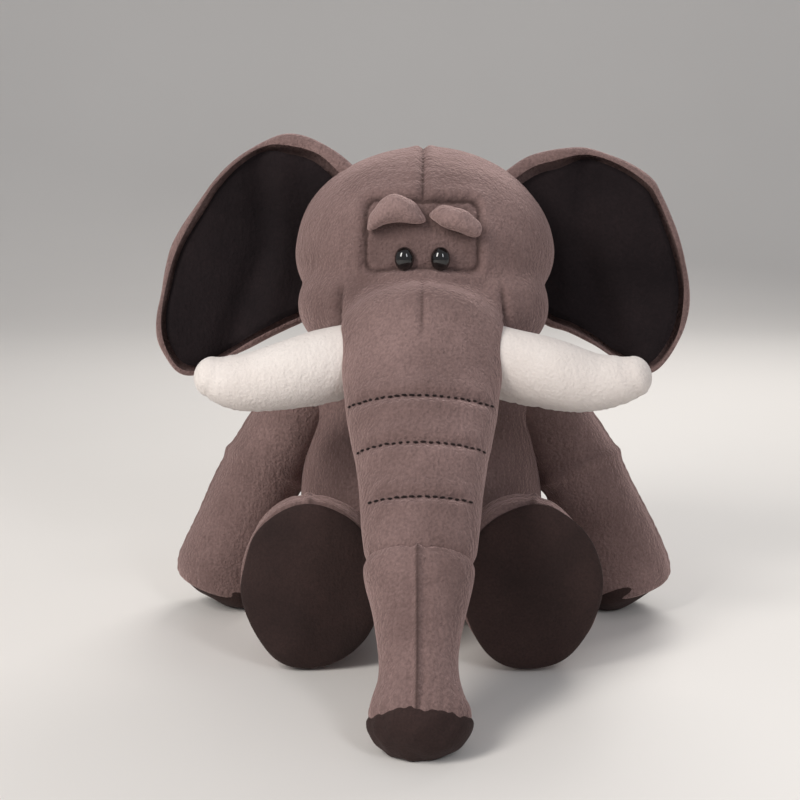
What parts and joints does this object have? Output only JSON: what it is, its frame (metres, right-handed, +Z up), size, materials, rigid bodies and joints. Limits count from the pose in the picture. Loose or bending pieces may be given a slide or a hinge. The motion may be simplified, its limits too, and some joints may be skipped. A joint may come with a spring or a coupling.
{
  "type": "stuffed toy elephant",
  "caption": "Sitting stuffed plush elephant with a long padded trunk, large lined ears, soft white tusks, button eyes and floppy sewn-on arms and legs.",
  "frame": {"origin": "middle of the flat seat panel, on the table", "axes": "+Z up, the elephant faces -Y and its own left side is +X"},
  "size_m": [0.2932, 0.3014, 0.2671],
  "materials": {
    "taupe_plush": "short brushed pile",
    "dark_suede": "suede-like knit",
    "dark_ear_velvet": "velvety nap",
    "white_plush": "short soft plush",
    "fibre_filling": "loose polyester fibre",
    "pellet_bag": "woven cotton bag of pellets",
    "eye_glass_black": "polished",
    "washer_plastic": "moulded",
    "dark_thread": "twisted thread",
    "dark_yarn": "brushed yarn"
  },
  "bodies": {
    "arm_left": {"arm_panel_back_left": "taupe_plush", "arm_panel_front_left": "taupe_plush", "arm_stuffing_left": "fibre_filling", "paw_pad_left": "dark_suede"},
    "arm_right": {"arm_panel_back_right": "taupe_plush", "arm_panel_front_right": "taupe_plush", "arm_stuffing_right": "fibre_filling", "paw_pad_right": "dark_suede"},
    "head": {"brow_left": "taupe_plush", "brow_right": "taupe_plush", "eye_left": "eye_glass_black", "eye_right": "eye_glass_black", "eye_washer_left": "washer_plastic", "eye_washer_right": "washer_plastic", "face_patch": "taupe_plush", "head_panel_left": "taupe_plush", "head_panel_right": "taupe_plush", "head_stuffing": "fibre_filling", "muzzle_panel_left": "taupe_plush", "muzzle_panel_right": "taupe_plush", "muzzle_stuffing": "fibre_filling", "tusk_skin_left": "white_plush", "tusk_skin_right": "white_plush", "tusk_stuffing_left": "fibre_filling", "tusk_stuffing_right": "fibre_filling"},
    "ear_left": {"ear_back_left": "taupe_plush", "ear_batting_left": "fibre_filling", "ear_lining_left": "dark_ear_velvet"},
    "ear_right": {"ear_back_right": "taupe_plush", "ear_batting_right": "fibre_filling", "ear_lining_right": "dark_ear_velvet"},
    "leg_left": {"leg_panel_inner_left": "taupe_plush", "leg_panel_outer_left": "taupe_plush", "leg_stuffing_left": "fibre_filling", "sole_left": "dark_suede"},
    "leg_right": {"leg_panel_inner_right": "taupe_plush", "leg_panel_outer_right": "taupe_plush", "leg_stuffing_right": "fibre_filling", "sole_right": "dark_suede"},
    "neck": {"neck_stuffing": "fibre_filling"},
    "torso": {"seat_pellet_bag": "pellet_bag", "torso_panel_left": "taupe_plush", "torso_panel_right": "taupe_plush", "torso_seat_panel": "taupe_plush", "torso_stuffing": "fibre_filling"},
    "tail": {"tail_skin": "taupe_plush", "tail_tuft": "dark_yarn"},
    "trunk_lower": {"trunk_lower_panel_left": "taupe_plush", "trunk_lower_panel_right": "taupe_plush", "trunk_lower_stuffing": "fibre_filling", "trunk_tip_cap": "dark_suede"},
    "trunk_upper": {"trunk_upper_panel_left": "taupe_plush", "trunk_upper_panel_right": "taupe_plush", "trunk_upper_stuffing": "fibre_filling", "trunk_wrinkle_stitch_1": "dark_thread", "trunk_wrinkle_stitch_2": "dark_thread", "trunk_wrinkle_stitch_3": "dark_thread"}
  },
  "joints": [
    {"name": "neck_turn", "type": "hinge", "parent": "torso", "child": "neck", "pos_m": [0, 0.004, 0.142], "axis": [0, 0, 1], "range_deg": [-10, 10]},
    {"name": "neck_nod", "type": "hinge", "parent": "neck", "child": "head", "pos_m": [0, 0.004, 0.142], "axis": [-1, 0, 0], "range_deg": [0, 14]},
    {"name": "trunk_lift", "type": "hinge", "parent": "head", "child": "trunk_upper", "pos_m": [0, -0.08, 0.16], "axis": [-1, 0, 0], "range_deg": [0, 34]},
    {"name": "trunk_curl", "type": "hinge", "parent": "trunk_upper", "child": "trunk_lower", "pos_m": [0, -0.159, 0.0723], "axis": [-1, 0, 0], "range_deg": [-5, 30]},
    {"name": "ear_left_fold", "type": "hinge", "parent": "head", "child": "ear_left", "pos_m": [0.066, 0.008, 0.205], "axis": [0, 0, -1], "range_deg": [-20, 20]},
    {"name": "ear_right_fold", "type": "hinge", "parent": "head", "child": "ear_right", "pos_m": [-0.066, 0.008, 0.205], "axis": [0, 0, 1], "range_deg": [-20, 20]},
    {"name": "arm_left_swing", "type": "hinge", "parent": "torso", "child": "arm_left", "pos_m": [0.062, 0.002, 0.127], "axis": [-1, 0, 0], "range_deg": [-35, 9]},
    {"name": "arm_right_swing", "type": "hinge", "parent": "torso", "child": "arm_right", "pos_m": [-0.062, 0.002, 0.127], "axis": [-1, 0, 0], "range_deg": [-35, 9]},
    {"name": "leg_left_lift", "type": "hinge", "parent": "torso", "child": "leg_left", "pos_m": [0.05, -0.028, 0.04], "axis": [-1, 0, 0], "range_deg": [0, 20]},
    {"name": "leg_right_lift", "type": "hinge", "parent": "torso", "child": "leg_right", "pos_m": [-0.05, -0.028, 0.04], "axis": [-1, 0, 0], "range_deg": [0, 20]},
    {"name": "tail_wag", "type": "hinge", "parent": "torso", "child": "tail", "pos_m": [0, 0.057, 0.044], "axis": [1, 0, 0], "range_deg": [-6, 35]}
  ]
}
